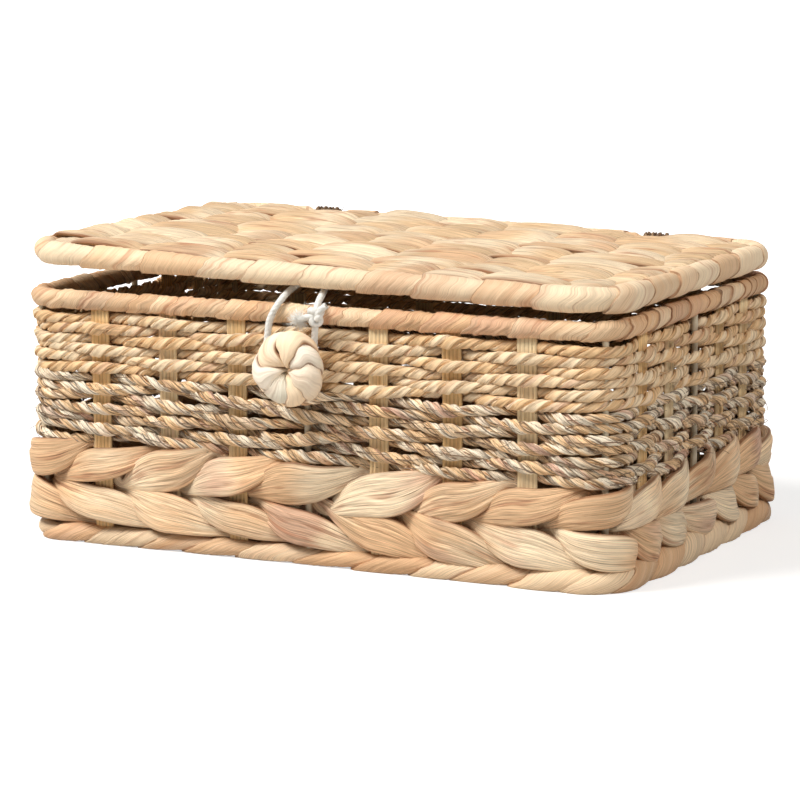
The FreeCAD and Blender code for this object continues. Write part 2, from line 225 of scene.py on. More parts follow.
def ringsAbout(centre, out, outWay, up, upWay):
    return centre[:, None] + out[..., None] * outWay[:, None] + up[..., None] * upWay[:, None]


def skin(rings, fibre, tint, looped=False):
    # a closed skin over rings of points, capped at its ends or joined end to end
    count, around = rings.shape[:2]
    index = np.arange(count * around).reshape(count, around)
    here, ahead = (index, np.roll(index, -1, 0)) if looped else (index[:-1], index[1:])
    faces = np.stack([here, np.roll(here, -1, 1), np.roll(ahead, -1, 1), ahead], -1).reshape(-1, 4)
    ends = [] if looped else [index[0][::-1], index[-1]]
    points = rings.reshape(-1, 3)
    a, b, c, d = (points[faces[:, k]] - points.mean(0) for k in range(4))
    if (np.cross(a, b) * c + np.cross(a, c) * d).sum() < 0:      # the faces look inwards
        faces, ends = faces[:, ::-1], [end[::-1] for end in ends]
    tint = np.broadcast_to(tint, rings.shape)
    return {"points": points, "faces": faces, "ends": ends,
            "fibre": fibre.reshape(-1, 3), "tint": tint.reshape(-1, 3)}


def newObject(name, data):
    made = bpy.data.objects.new(name, data)
    scene.collection.objects.link(made)
    return made


def makePiece(node, parts, material, body=None, name=None):
    # a piece is called after the node that it stands for, unless it has a name of its own
    first, *words = node.split("_")
    name = name or first + "".join(word.capitalize() for word in words)
    start, faces = 0, []
    for part in parts:
        faces += (part["faces"] + start).tolist() + [(end + start).tolist() for end in part["ends"]]
        start += len(part["points"])
    points = np.concatenate([part["points"] for part in parts]) * mm
    mesh = bpy.data.meshes.new(name)
    mesh.from_pydata(points.tolist(), [], faces)
    for label in ("fibre", "tint"):
        values = np.concatenate([part[label] for part in parts]).astype(np.float32)
        mesh.attributes.new(label, "FLOAT_VECTOR", "POINT").data.foreach_set("vector", values.ravel())
    mesh.polygons.foreach_set("use_smooth", [len(face) == 4 for face in faces])
    mesh.materials.append(material)
    piece = newObject(name, mesh)
    if body:
        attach(piece, body)
    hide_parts(node)
    return piece


def aheadAlong(points, looped):
    ahead = np.roll(points, -1, 0) - np.roll(points, 1, 0)
    if not looped:
        ahead[0], ahead[-1] = points[1] - points[0], points[-1] - points[-2]
    return unit(ahead)


def carriedWays(points, looped=False):
    # two ways square to a path in space, carried along it without twisting
    ahead = aheadAlong(points, looped)
    side = np.cross(ahead[0], (0.31, 0.52, 0.79))      # any way that no path here starts along
    sides = []
    for way in ahead:
        side = side - way * side.dot(way)
        side = side / np.linalg.norm(side)
        sides.append(side)
    sides = np.array(sides)
    return sides, np.cross(ahead, sides)


def lengthAlong(points):
    return np.concatenate([[0], np.cumsum(np.linalg.norm(np.diff(points, axis=0), axis=1))])


def twistedRope(centre, outWay, upWay, s, total, look, rng, looped=False, swell=None):
    # plies laid round each other, each ply a bundle of blades that shows as ridges
    swell = np.ones_like(s) if swell is None else swell
    around = roundAngles(look["sides"])
    size, blades = look["diameter"], look["blades"]
    parts = []
    for ply in range(look["plies"]):
        plyTurn = look["twist"] * turn * round(total / look["lay"]) * s / total
        phase = (plyTurn + turn * ply / look["plies"])[:, None]
        fat = 1 + look["uneven"] * wander(rng, s, total, "ply")
        bladeTurn = look["twist"] * turn * round(total / look["bladeLay"]) * s / total
        bladeAngle = around + bladeTurn[:, None] + rng.uniform(0, turn)
        groove = np.abs(np.cos(bladeAngle * blades / 2))
        ridge = 1 + look["ridge"] * (groove - grooveMean)
        radial = look["radialShare"] * size * fat[:, None] * ridge * np.cos(around)
        sideways = look["sideShare"] * size * fat[:, None] * ridge * np.sin(around)
        off = look["offsetShare"] * size + radial
        out = (off * np.cos(phase) - sideways * np.sin(phase)) * look["flat"]
        up = (off * np.sin(phase) + sideways * np.cos(phase)) * swell[:, None]
        blade = (np.mod(bladeAngle, turn) / turn * blades).astype(int) % blades
        spliced = (s / look["bladeRun"] + rng.uniform()).astype(int)
        palette = rng.uniform(size=(spliced.max() + 1, blades, 3))
        # the reach falls to zero in the grooves between blades and where the plies meet; the rope materials
        # paint shade there
        openFace = edgeReach * np.minimum(np.abs(np.cos(around)), groove)
        fibre = fibrePlaces(rng, radial.shape, s[:, None], sideways, openFace)
        rings = ringsAbout(centre, out, outWay, up, upWay)
        parts.append(skin(rings, fibre, palette[spliced[:, None], blade], looped))
    return parts


def ropeAlong(line, look, rng):
    s = lengthAlong(line)
    outWay, upWay = carriedWays(line)
    return twistedRope(line, outWay, upWay, s, s[-1], look, rng)


hairForm = {"sides": 4, "tip": 0.4}


def hairStrand(points, diameter, rng):
    # one loose fibre, a thin tapering tube
    outWay, upWay = carriedWays(points)
    around = roundAngles(hairForm["sides"])
    taper = diameter / 2 * np.linspace(1, hairForm["tip"], len(points))
    out, up = taper[:, None] * np.cos(around), taper[:, None] * np.sin(around)
    fibre = fibrePlaces(rng, out.shape, lengthAlong(points)[:, None], out, up)
    return skin(ringsAbout(points, out, outWay, up, upWay), fibre, rng.uniform(size=3))


def leafStrand(centre, s, total, width, thick, sideWay, look, rng, looped=False):
    # a puffed leaf stalk with lengthwise folds and creases; sideWay is the way of its width
    ahead = aheadAlong(centre, looped)
    wideWay = unit(sideWay - ahead * (sideWay * ahead).sum(-1, keepdims=True))
    thickWay = np.cross(ahead, wideWay)
    around = roundAngles(look["sides"])
    across, face = np.sin(around), np.cos(around)
    lift = thick[:, None] * signedPower(face, look["crownPower"])

    def besideLine(furthest, drift, name):
        line = rng.uniform(-furthest, furthest) + drift * wander(rng, s, total, name)
        return across - line[:, None]

    def shownAlong(mean, swing, most, name):
        return np.clip(mean + swing * wander(rng, s, total, name), 0, most)[:, None]

    for side in (1, -1):
        shows = np.clip(face * side * look["faceEdge"], 0, 1) * side
        for _ in range(look["folds"]):
            beside = besideLine(*look["foldLine"])
            step = look["foldDepth"] * rng.choice((-1, 1)) * shownAlong(*look["foldShows"])
            lift = lift + shows * step / 2 * np.tanh(beside / look["foldShare"])
        for _ in range(look["creases"]):
            beside = besideLine(*look["creaseLine"])
            depth = look["creaseDepth"] * shownAlong(*look["creaseShows"])
            lift = lift - shows * depth * np.exp(-(beside / look["creaseShare"]) ** 2)
    lean = look["uneven"] * wander(rng, s, total, "lean")
    wide = (width * (1 + lean))[:, None] * across
    rings = ringsAbout(centre, lift, thickWay, wide, wideWay)
    # the reach falls to zero at the leaf's edges, which the material paints darker: partly the leaf's own
    # browner edge, partly painted shade where the edge turns away
    fibre = fibrePlaces(rng, lift.shape, s[:, None], look["width"] * across, edgeReach * face)
    drifts = np.stack([wander(rng, s, total, "tint") for _ in range(3)], -1)
    return skin(rings, fibre, 0.5 + look["tintDrift"] * drifts[:, None], looped)


def wrappedRing(ringAt, total, radii, look, rng, narrowing=None, floor=None):
    # leaf strips wound round a ring, each edge lapped over the strip before it
    edges = [0.0]
    while edges[-1] < total:
        edges.append(edges[-1] + rng.uniform(*look["stripWidth"]))
    edges = np.array(edges) * total / edges[-1]
    around = look["seam"] + roundAngles(look["sides"])
    tuckFrom, tuckTo = look["tuckedAt"]
    parts = []
    for start, end in zip(edges, edges[1:]):
        end = end + look["lap"]
        steps = max(look["fewest"], math.ceil((end - start) / look["step"]))
        share = np.linspace(0, 1, steps + 1)
        middle = ringAt(np.array([(start + end) / 2]))[0][0]
        swollen = np.clip(middle[0] / halfLength, 0, 1) ** 2       # fuller towards the right end
        puff = look["puff"] + look["rightPuff"] * swollen
        rise = look["lift"] * rng.uniform(*look["liftSpread"])
        lift = np.concatenate([[-look["sink"]], rise * (1 - share) ** look["liftFall"], [-look["sink"]]])
        place = start + (end - start) * np.concatenate([[tuckFrom], share, [tuckTo]])
        slant = look["slant"] * rng.uniform(*look["slantSpread"])
        ragged = look["ragged"] * wander(rng, around, turn, "ragged")
        s = place[:, None] + slant * np.sin(around) + ragged
        crease = place[:, None] - look["pleatLean"] * slant * np.sin(around)
        pleats = sum(1 - 2 * np.abs(np.cos(math.pi * crease / wave + rng.uniform(0, turn)))
                     for wave in look["pleatWaves"])
        crown = np.abs(np.sin(math.pi * share)) ** look["puffPower"]
        lift[1:-1] += puff * crown * rng.uniform(*look["puffSpread"])
        lift += look["rightGrowth"] * swollen
        height = lift[:, None] + look["pleat"] * pleats * rng.uniform(*look["pleatSpread"])
        height[0], height[-1] = lift[0], lift[-1]
        centre, outWay, upWay = ringAt(s.ravel())
        thin = np.ones(s.size) if narrowing is None else narrowing(s.ravel())
        out = ((radii[0] + height) * np.cos(around)).ravel() * thin
        up = ((radii[1] + height) * np.sin(around)).ravel() * thin
        points = centre + out[:, None] * outWay + up[:, None] * upWay
        if floor is not None:
            points[:, 2] = np.maximum(points[:, 2], floor)
        # the reach falls to zero at each strip's lapping edge, where the material paints a dark line:
        # painted shade at the seam, with the strip's own browner edge
        inward = np.minimum(place - start, look["edgeBand"]) / look["edgeBand"] * edgeReach
        run = radii[0] * (around - look["seam"])
        fibre = fibrePlaces(rng, s.shape, run, crease, inward[:, None])
        parts.append(skin(points.reshape(*s.shape, 3), fibre, rng.uniform(size=3), looped=True))
    return parts


# Materials

def linear(code):
    # an sRGB hex colour as linear red, green, blue and alpha
    channels = [int(code[k:k + 2], 16) / 255 for k in (1, 3, 5)]
    return (*[c / 12.92 if c <= 0.04045 else ((c + 0.055) / 1.055) ** 2.4 for c in channels], 1.0)


def addNode(tree, kind, settings=None, links=None):
    # a link names its socket and what feeds it: an output, or a node for its first output
    node = tree.nodes.new("ShaderNode" + kind)
    for name, value in (settings or {}).items():
        if name == "stops":
            for stop, code in zip(node.color_ramp.elements, value):
                stop.color = linear(code)
        elif isinstance(name, str) and hasattr(node, name):
            setattr(node, name, value)
        else:
            node.inputs[name].default_value = value
    for socket, source in (links or {}).items():
        tree.links.new(getattr(source, "outputs", [source])[0], node.inputs[socket])
    return node


def newMaterial(name):
    material = bpy.data.materials.new(name)
    material.use_nodes = True
    material.node_tree.nodes.clear()
    return material, partial(addNode, material.node_tree)


plantFields = {          # the span over which each noise field begins to show and shows in full
    "patch": (0.75, 1.25), "stain": (0.58, 0.7), "vein": (0.56, 0.68), "fine": (0.3, 0.7),
    "blushSpan": 0.35, "blushMost": 0.85, "roughSpan": (0.1, -0.06), "noiseRoughness": 0.6}


def driedPlant(name, look):
    # a dried plant strip: lengthwise fibres, darker veins and slow patches of colour, and the vein brown
    # laid where the fibre reach is small: painted shade in grooves, at seams and along turned-away edges,
    # with the leaves' own browner edges
    material, add = newMaterial(name)
    fibre = add("Attribute", {"attribute_name": "fibre"}).outputs["Vector"]
    tint = add("Attribute", {"attribute_name": "tint"}).outputs["Vector"]
    tints = add("SeparateXYZ", None, {0: tint}).outputs
    fields = {}
    for field, (run, width, detail) in look["grain"].items():
        scale = (1 / run, 1 / width, 1 / width)
        scaled = add("VectorMath", {"operation": "MULTIPLY", 1: scale}, {0: fibre})
        noise = {"Scale": 1.0, "Detail": detail, "Roughness": plantFields["noiseRoughness"]}
        fields[field] = add("TexNoise", noise, {"Vector": scaled})
    for field, own in (("patch", tints[1]), ("cloud", tints[2])):      # each strip has its own colour too
        fields[field] = add("Math", {"operation": "ADD"}, {0: fields[field], 1: own})
    reach = add("SeparateXYZ", None, {0: fibre}).outputs[2]
    fields["edge"] = add("Math", {"operation": "ABSOLUTE"}, {0: reach})

    # every colour is laid over the ones before it, as far as its field shows; the last layer is painted
    # shade near edges and grooves, partly the leaves' own browner edges
    blushTo = look["blushFrom"] + plantFields["blushSpan"]
    layers = [
        ("patch", (*plantFields["patch"], 0, 1), "pale"),
        ("cloud", (look["blushFrom"], blushTo, 0, plantFields["blushMost"]), "blush"),
        ("stain", (*plantFields["stain"], 0, look["stainDepth"]), "stain"),
        ("vein", (*plantFields["vein"], 0, look["veinDepth"]), "vein"),
        # painted shade: the vein brown over grooves, seams and turned-away edges, together with the leaves'
        # own browner edges
        ("edge", (0, look["edgeBrownAndShadeWidth"] * edgeReach, look["edgeBrownAndShadeDepth"], 0), "vein")]
    below = {}
    for field, span, over in layers:
        share = add("MapRange", dict(enumerate(span, 1)), {0: fields[field]})
        colours = {"data_type": "RGBA", 6: linear(look["base"]), 7: linear(look[over])}
        below = {6: add("Mix", colours, {0: share, **below}).outputs[2]}

    # fine fibres darken and roughen the surface, and each strip has its own tone
    fine, depth = plantFields["fine"], look["fineDepth"]
    rough = [look["rough"] + more for more in plantFields["roughSpan"]]
    spans = {
        "tone": (tints[0], (0, 1, look["toneDark"], look["toneLight"])),
        "grey": (fields["fine"], (*fine, 1 - depth, 1 + depth / 2)),
        "rough": (fields["fine"], (*fine, *rough))}
    made = {}
    for label, (source, span) in spans.items():
        made[label] = add("MapRange", dict(enumerate(span, 1)), {0: source})
    tone = add("Math", {"operation": "MULTIPLY"}, {0: made["tone"], 1: made["grey"]})
    shade = add("CombineColor", None, {0: tone, 1: tone, 2: tone})
    shading = {"data_type": "RGBA", "blend_type": "MULTIPLY", 0: 1.0}
    colour = add("Mix", shading, {7: shade, **below}).outputs[2]
    relief = add("Math", {"operation": "SUBTRACT"}, {0: fields["fine"], 1: fields["vein"]})
    ridged = {"operation": "MULTIPLY_ADD", 1: look["ridgeShare"]}
    relief = add("Math", ridged, {0: fields["ridge"], 2: relief})
    height = {"Strength": look["reliefStrength"], "Distance": look["relief"] * mm}
    bump = add("Bump", height, {"Height": relief})
    shader = add("BsdfPrincipled", {"Specular IOR Level": look["shine"]},
                 {"Base Color": colour, "Roughness": made["rough"], "Normal": bump})
    add("OutputMaterial", None, {"Surface": shader})
    return material


# Water hyacinth leaf stalk, dried and pressed flat: a satin straw skin with fine lengthwise fibres, brown
# veins and patches that dried paler or pinkish. Fibres are drawn 0.5 mm wide so that they show.
# Each grain gives its run along the leaf and its width in mm, then its detail.
leafGrain = {"fine": (18, 0.5, 3.0), "vein": (30, 0.8, 2.0), "patch": (34, 8, 3.0), "cloud": (50, 12, 2.0),
             "ridge": (26, 2.2, 1.0), "stain": (26, 4.5, 2.0)}
# the vein brown is also laid near the leaf edges: partly their own browner colour, partly painted shade;
# the looks below inherit this
wallLeafLook = {
    "grain": leafGrain, "base": "#ecc194", "pale": "#fae0bb", "blush": "#d6aa8c", "blushFrom": 1.25,
    "vein": "#84502d", "veinDepth": 0.5, "edgeBrownAndShadeDepth": 0.8, "edgeBrownAndShadeWidth": 0.4, "stain": "#b5714b",
    "stainDepth": 0.55, "toneDark": 0.9, "toneLight": 1.13, "fineDepth": 0.45, "rough": 0.6,
    "relief": 0.5, "reliefStrength": 0.85, "ridgeShare": 0.7, "shine": 0.3}
lidLeafLook = dict(
    wallLeafLook, base="#e4c094", pale="#f3dab6", blush="#d9ae85", blushFrom=1.2, veinDepth=0.46,
    edgeBrownAndShadeDepth=0.85, edgeBrownAndShadeWidth=0.62, stainDepth=0.6, toneDark=0.87, toneLight=1.09, fineDepth=0.38)
wrapLeafLook = dict(
    wallLeafLook, base="#dfb387", pale="#efd1ab", blush="#d3a481", blushFrom=1.2, veinDepth=0.3,
    edgeBrownAndShadeDepth=0.75, stainDepth=0.5, toneDark=0.88, toneLight=1.1, fineDepth=0.3, reliefStrength=0.5,
    ridgeShare=0.8)
lidWrapLook = dict(
    wrapLeafLook, base="#e6bf95", pale="#f3d9b5", blush="#dcb28c", blushFrom=1.25, toneDark=0.92,
    veinDepth=0.18, fineDepth=0.2)
buttonLeafLook = dict(
    wallLeafLook, base="#f8dcb8", pale="#fdeed8", blush="#d2cfb6", blushFrom=1.2, veinDepth=0.15,
    edgeBrownAndShadeDepth=0.85, edgeBrownAndShadeWidth=0.5, stainDepth=0.3, fineDepth=0.1, relief=0.3)
wallLeaf = driedPlant("pressedHyacinthLeafTwined", wallLeafLook)
lidLeaf = driedPlant("pressedHyacinthLeafLid", lidLeafLook)
wrapLeaf = driedPlant("pressedHyacinthLeafWrapped", wrapLeafLook)
lidWrapLeaf = driedPlant("pressedHyacinthLeafLidRim", lidWrapLook)
buttonLeaf = driedPlant("pressedHyacinthLeafButton", buttonLeafLook)

# Leaf strip twisted tight into cord: even tan, matt, creased along each ply, with painted shade in the vein
# brown along the grooves between plies.
ropeGrain = {"fine": (20, 0.45, 2.0), "vein": (35, 0.9, 2.0), "patch": (40, 6, 2.0), "cloud": (60, 8, 2.0),
             "ridge": (18, 1.2, 1.0), "stain": (12, 3, 2.0)}
tanRopeLook = {
    "grain": ropeGrain, "base": "#ecc493", "pale": "#fae0ba", "blush": "#e0b696", "blushFrom": 1.3,
    "vein": "#7d5430", "veinDepth": 0.3, "edgeBrownAndShadeDepth": 0.5, "edgeBrownAndShadeWidth": 0.45, "stain": "#b57f50",
    "stainDepth": 0.3, "toneDark": 0.92, "toneLight": 1.06, "fineDepth": 0.14, "rough": 0.75,
    "relief": 0.35, "reliefStrength": 0.7, "ridgeShare": 1.0, "shine": 0.2}
tanLeafCord = driedPlant("twistedHyacinthCordTan", tanRopeLook)

# Seagrass blades twisted into cord: every blade dried to its own brown, cream or pinkish tan, with dark
# painted shade in the grooves between blades and plies.
seagrassLook = dict(
    tanRopeLook, base="#f1c999", pale="#ffeed2", blush="#d3a389", blushFrom=1.2, vein="#543420",
    veinDepth=0.45, edgeBrownAndShadeDepth=0.9, edgeBrownAndShadeWidth=0.4, toneDark=0.8, toneLight=1.2, fineDepth=0.36, rough=0.55)
seagrassCord = driedPlant("twistedSeagrassCord", seagrassLook)

# The same cord of older grass for the ties: dull dark brown, with the same painted shade in its grooves.
tieLook = dict(seagrassLook, base="#86684c", pale="#b3936f", blush="#6f5545", toneDark=0.65, toneLight=1.05)
tieCord = driedPlant("twistedSeagrassTie", tieLook)

# Split cane laid side by side into flat stakes: golden, ribbed lengthwise, with painted shade in the
# grooves between the ribs.
stakeLook = dict(
    tanRopeLook, base="#f3cb90", pale="#fbe3b6", toneDark=0.92, toneLight=1.1, veinDepth=0.35,
    edgeBrownAndShadeDepth=0.45)
caneRib = driedPlant("splitCaneRibbed", stakeLook)

wireLook = {"mottle": 1.2, "detail": 3.0, "colours": ("#b9a98c", "#d2c3a8"), "rough": (0.38, 0.6)}
cottonLook = {
    "yarnRun": 2.5, "yarnWidth": 0.3, "detail": 3.0, "colours": ("#d9d5ca", "#f4f2ec"), "nap": 0.15,
    "napStrength": 0.5, "rough": 0.85, "sheen": 0.25}


def lacqueredWire(look):
    # drawn iron wire dipped in pale lacquer: beige grey, softly shining, faintly mottled
    material, add = newMaterial("lacqueredDrawnWire")
    place = add("TexCoord").outputs["Object"]
    grit = {"Scale": 1 / (look["mottle"] * mm), "Detail": look["detail"]}
    mottle = add("TexNoise", grit, {"Vector": place})
    colour = add("ValToRGB", {"stops": look["colours"]}, {0: mottle})
    rough = add("MapRange", dict(enumerate(look["rough"], 3)), {0: mottle})
    shader = add("BsdfPrincipled", None, {"Base Color": colour, "Roughness": rough})
    add("OutputMaterial", None, {"Surface": shader})
    return material


def twistedCotton(look):
    # bleached cotton yarn: matt white with a soft nap, greyer in fine streaks along the yarn
    material, add = newMaterial("twistedBleachedCotton")
    fibre = add("Attribute", {"attribute_name": "fibre"}).outputs["Vector"]
    scale = (1 / look["yarnRun"], 1 / look["yarnWidth"], 1 / look["yarnWidth"])
    scaled = add("VectorMath", {"operation": "MULTIPLY", 1: scale}, {0: fibre})
    yarn = add("TexNoise", {"Scale": 1.0, "Detail": look["detail"]}, {"Vector": scaled})
    colour = add("ValToRGB", {"stops": look["colours"]}, {0: yarn})
    nap = {"Strength": look["napStrength"], "Distance": look["nap"] * mm}
    bump = add("Bump", nap, {"Height": yarn})
    shader = add("BsdfPrincipled", {"Roughness": look["rough"], "Sheen Weight": look["sheen"]},
                 {"Base Color": colour, "Normal": bump})
    add("OutputMaterial", None, {"Surface": shader})
    return material


wireLacquer = lacqueredWire(wireLook)
cottonYarn = twistedCotton(cottonLook)
print("materials made")


# Camera at the photograph's viewing angle

viewpoint = {"yaw": 26.93, "pitch": 9.56, "roll": -0.48, "distance": 1516.3, "look": (-1.8, 0.0, 59.2),
             "lens": 147.0, "sensor": 36.0}


def makeCamera(look):
    yaw, pitch, roll = (math.radians(look[name]) for name in ("yaw", "pitch", "roll"))
    back = Vector((math.sin(yaw) * math.cos(pitch), -math.cos(yaw) * math.cos(pitch), math.sin(pitch)))
    right = Vector((math.cos(yaw), math.sin(yaw), 0))
    up = back.cross(right)
    right, up = right * math.cos(roll) + up * math.sin(roll), up * math.cos(roll) - right * math.sin(roll)
    data = bpy.data.cameras.new("photoCamera")
    data.lens, data.sensor_width = look["lens"], look["sensor"]
    camera = newObject("photoCamera", data)
    camera.matrix_world = Matrix((right, up, back)).transposed().to_4x4()
    camera.location = Vector(look["look"]) * mm + back * look["distance"] * mm
    scene.camera = camera


# Cotton loop: over the lid's front middle wire, down round the button and back to its knot

cottonLoop = {
    "diameter": 3.2, "plies": 3, "lay": 6.5, "twist": 1, "sides": 12, "uneven": 0.03,
    "blades": 3, "bladeLay": 14.0, "bladeRun": 400.0, "ridge": 0.04, "flat": 1.0,
    "radialShare": 0.33, "sideShare": 0.4, "offsetShare": 0.16, "length": 0.131, "seed": 11,
    "route": [
        (9.6, -101.9, 114.0), (9.4, -100.6, 117.4), (8.2, -93.0, 121.0), (6.2, -86.8, 123.0),
        (3.4, -86.2, 132.0), (-3.4, -86.2, 132.2), (-6.4, -86.6, 124.2), (-9.4, -90.2, 121.8),
        (-10.7, -98.9, 116.7), (-14.2, -100.6, 110.0), (-15.0, -101.2, 103.2), (-15.6, -101.1, 95.6),
        (-13.2, -101.1, 87.6), (-6.0, -101.1, 83.2), (2.4, -101.1, 84.2), (7.0, -101.1, 90.4),
        (7.8, -101.1, 97.6), (8.4, -101.3, 104.0), (9.4, -101.9, 111.0)],
    "tails": [
        [(12.3, -103.9, 114.4), (13.7, -104.3, 116.4), (15.6, -103.8, 117.6)],
        [(6.7, -103.9, 112.2), (4.6, -104.3, 111.6), (2.6, -103.9, 110.6)]],
    "frays": [(16, 2.6, 0.45), (460, 7.5, 0.9)],         # strands, reach and spread of each frayed tail
    "frayLength": (0.4, 1.0), "frayRoot": 0.9, "frayBend": 0.45, "frayDiameter": 0.2,
    "knotSpread": (1.05, 1.25), "knotDepth": 1.5, "knotSteps": 90, "knotSlim": 0.92,
    "lidSide": (0, -86.6, 124.6), "loopSide": (0, -95.0, 119.0), "splineSteps": 10}


def splinePoints(route):
    # the smooth line of a route, read from a NURBS spline through its control points
    curve = bpy.data.curves.new("cordRoute", "CURVE")
    curve.dimensions = "3D"
    curve.resolution_u = cottonLoop["splineSteps"]
    spline = curve.splines.new("NURBS")
    spline.points.add(len(route) - 1)
    for point, place in zip(spline.points, route):
        point.co = (*metres(place), 1)
    spline.order_u = 3
    spline.use_endpoint_u = True
    holder = newObject("cordRoute", curve)
    bpy.context.view_layer.update()
    line = bpy.data.meshes.new_from_object(holder)
    points = np.array([vertex.co for vertex in line.vertices]) / mm
    bpy.data.objects.remove(holder)
    bpy.data.curves.remove(curve)
    bpy.data.meshes.remove(line)
    return points


def makeCottonLoop(look):
    rng = seeded(look["seed"])
    line = splinePoints(look["route"])
    parts = ropeAlong(line, look, rng)
    cord = makePiece("loop_cord", parts, cottonYarn, name="cottonLoopCord")
    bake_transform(cord)

    # overhand knot, drawn up where the two legs meet
    t = roundAngles(look["knotSteps"])
    wide, tall = look["knotSpread"]
    middle = (np.array(look["route"][0]) + np.array(look["route"][-1])) / 2
    knotX = wide * (np.sin(t) + 2 * np.sin(2 * t))
    knotY = -look["knotDepth"] * np.sin(3 * t)
    knotZ = tall * (np.cos(t) - 2 * np.cos(2 * t))
    knotLine = middle + np.stack([knotX, knotY, knotZ], -1)
    knotLength = np.linalg.norm(np.roll(knotLine, -1, 0) - knotLine, axis=1)
    s = np.cumsum(knotLength) - knotLength[0]
    outWay, upWay = carriedWays(knotLine, looped=True)
    slim = dict(look, diameter=look["diameter"] * look["knotSlim"])
    parts = twistedRope(knotLine, outWay, upWay, s, knotLength.sum(), slim, rng, looped=True)
    knot = makePiece("loop_knot", parts, cottonYarn, "loop", "cottonLoopKnot")

    parts = []
    for tail, (strands, reach, spread) in zip(look["tails"], look["frays"]):
        points = splinePoints([middle] + tail)
        outWay, upWay = carriedWays(points)
        parts += ropeAlong(points, slim, rng)
        way = unit(points[-1] - points[-3])
        for _ in range(strands):
            aim = unit(way + spread * rng.normal(size=3))
            length = reach * rng.uniform(*look["frayLength"])
            at = rng.integers(len(points) // 3, len(points))
            root = points[at] + look["frayRoot"] * rng.uniform(-1, 1) * outWay[at]
            root = root + look["frayRoot"] * rng.uniform(-1, 1) * upWay[at]
            hair = np.array([root, root + way * length * look["frayBend"], root + aim * length])
            parts.append(hairStrand(hair, look["frayDiameter"], rng))
    tails = makePiece("loop_tails", parts, cottonYarn, "loop", "cottonLoopTails")


makeCamera(viewpoint)
makeCottonLoop(cottonLoop)
print("camera and cotton loop made")


# Wall ropes: tan cord above, seagrass below, each row over and under the uprights in turn

tanRope = {
    "rows": 6, "topRow": 12, "node": "tan_rope_row_", "diameter": 5.0, "plies": 2, "lay": 16.0,
    "twist": 1, "sides": 16, "step": 1.3, "uneven": 0.11, "blades": 2, "bladeLay": 44.0,
    "bladeRun": 130.0, "ridge": 0.08, "radialShare": 0.26, "sideShare": 0.46, "offsetShare": 0.24,
    "flat": 0.84, "gap": 0.2, "snug": 0.96, "swell": 0.18, "hug": 2.0, "cornerEase": 0.8,
    "cornerPush": 1.1, "cornerSpan": 1.4, "stray": 0.4, "seed": 20, "hairs": 4, "hairReach": (6, 18),
    "hairOut": (0.5, 3.0), "hairLift": 2.5, "hairPoints": 7, "hairRoot": 0.42, "hairCurl": 1.5,
    "hairDiameter": (0.3, 0.55)}
seagrassRope = dict(
    tanRope, rows=7, topRow=6, node="seagrass_rope_row_", lay=19.0, twist=-1, sides=24, uneven=0.16,
    blades=4, sideShare=0.42, bladeLay=60.0, bladeRun=52.0, ridge=0.42, snug=0.95, swell=0.16, stray=0.7,
    hairs=70, seed=40)


def makeRopeRow(look, number, material):
    rng = seeded(look["seed"] + number)
    node = look["node"] + str(number)
    level = look["topRow"] + 1 - number
    s = onceRound(look["step"], level)
    passed = uprightCount(s)
    swing = -np.cos(math.pi * (passed + level))
    swing = signedPower(swing, look["hug"])       # level between uprights, out and in only beside them
    toCorner = np.abs(passed[:, None] - cornerUprights).min(1)
    bent = np.clip(look["cornerSpan"] * (1 - toCorner), 0, 1)      # drawn tight round a corner
    swing = swing * (1 - look["cornerEase"] * bent)
    away = uprightDepth(passed) + look["gap"] + look["flat"] * look["diameter"] / 2
    stray = look["stray"] * wander(rng, s, wallRound, "rope")
    centre, outward = inWall(s, node, swing * away + look["cornerPush"] * bent, stray)
    upward = upWays(outward)
    swell = look["snug"] + look["swell"] * np.maximum(swing, 0) ** 2      # fuller where it floats in front
    parts = twistedRope(centre, outward, upward, s, wallRound, look, rng, looped=True, swell=swell)
    count = look["hairPoints"]
    for at in rng.integers(0, len(s), look["hairs"]):
        # a loose fibre that springs out of the lay
        reach, out = rng.uniform(*look["hairReach"]), rng.uniform(*look["hairOut"])
        lift = rng.normal(0, look["hairLift"])
        stride = max(1, round(reach / look["step"] / (count - 1)))
        ride = (np.arange(count) * stride + at) % len(s)
        root = centre[ride] + outward[ride] * look["diameter"] * look["hairRoot"]
        rise = np.linspace(0, 1, count)[:, None] ** look["hairCurl"]
        hair = root + outward[ride] * out * rise + upward[ride] * lift * rise
        parts.append(hairStrand(hair, rng.uniform(*look["hairDiameter"]), rng))
    makePiece(node, parts, material, "basket")


ropes = ((tanRope, tanLeafCord, "tan_rope"), (seagrassRope, seagrassCord, "seagrass_rope"))
for rope, material, slot in ropes:
    for number in range(1, rope["rows"] + 1):
        makeRopeRow(rope, number, material)
print("rope rows woven")


# Twined rows of heavy leaf: two strands that swap sides and cross between the uprights

